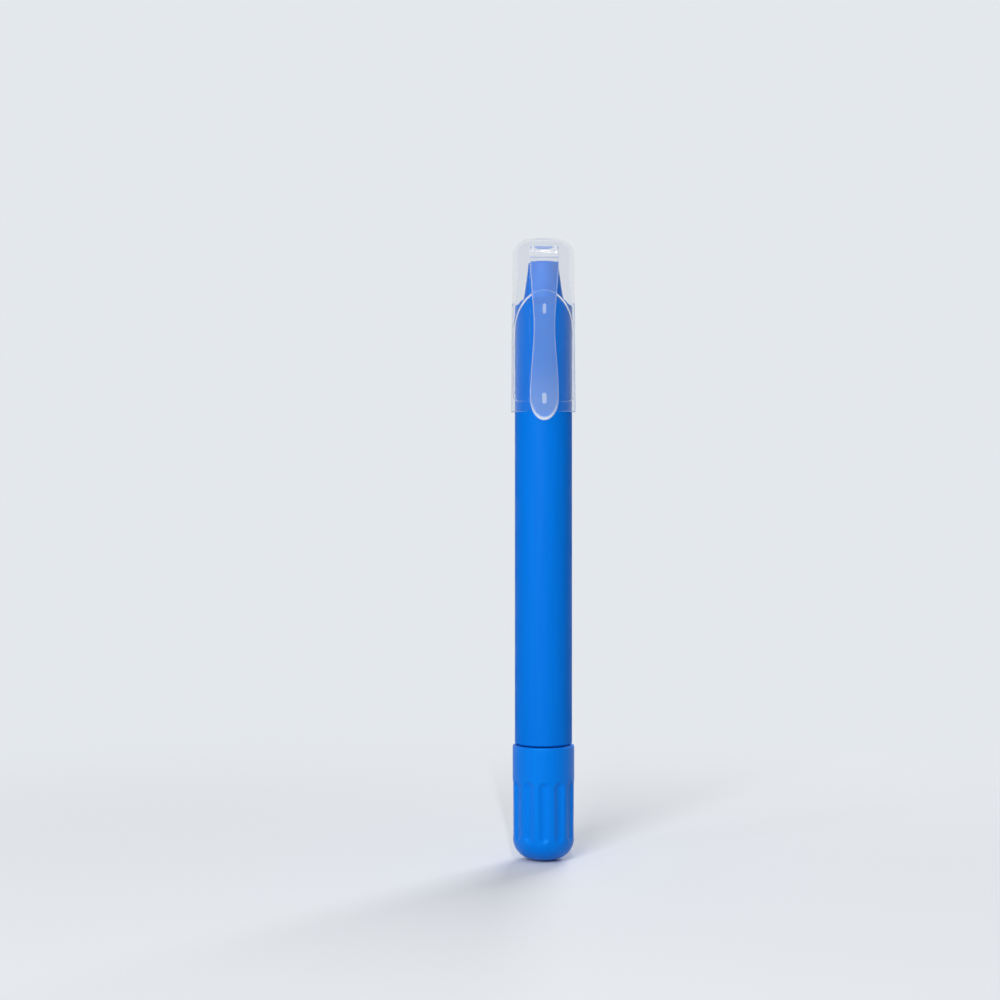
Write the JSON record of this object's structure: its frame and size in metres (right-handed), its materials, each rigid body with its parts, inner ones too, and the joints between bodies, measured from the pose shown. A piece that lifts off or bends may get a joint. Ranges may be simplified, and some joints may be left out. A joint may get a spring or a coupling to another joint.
{
  "type": "twist crayon",
  "caption": "Twist-up wax crayon: a fluted tail knob turns a screw that drives the wax stick out of a chamfered nose; a clear pull-off cap has a moulded pocket clip.",
  "frame": {"origin": "on the axis at the middle of the domed tail end", "axes": "+Z along the axis towards the writing tip; -Y towards the pocket clip"},
  "size_m": [0.0146, 0.0167, 0.14],
  "materials": {
    "blue_plastic": "gloss moulded",
    "blue_wax": "waxy, slightly translucent",
    "clear_plastic": "clear, lightly frosted",
    "natural_acetal": "moulded, unpainted",
    "black_rubber": "matt"
  },
  "bodies": {
    "barrel": {"barrel": "blue_plastic", "tail_bush": "natural_acetal"},
    "knob": {"twist_knob": "blue_plastic", "drive_screw": "natural_acetal", "drag_ring": "black_rubber"},
    "stick": {"stick_carrier": "natural_acetal", "crayon_stick": "blue_wax"},
    "cap": {"cap": "clear_plastic"}
  },
  "joints": [
    {"name": "knob_twist", "type": "hinge", "parent": "barrel", "child": "knob", "pos_m": [0, 0, 0.026], "axis": [0, 0, 1], "range_deg": [0, 3240]},
    {"name": "stick_advance", "type": "slide", "parent": "barrel", "child": "stick", "axis": [0, 0, 1], "range_m": [0, 0.0342]},
    {"name": "cap_pull", "type": "slide", "parent": "stick", "child": "cap", "axis": [0, 0, 1], "range_m": [0, 0.042]}
  ],
  "couplings": [
    {"joint": "knob_twist", "follows": "stick_advance", "rad_per_m": 1653.5}
  ]
}
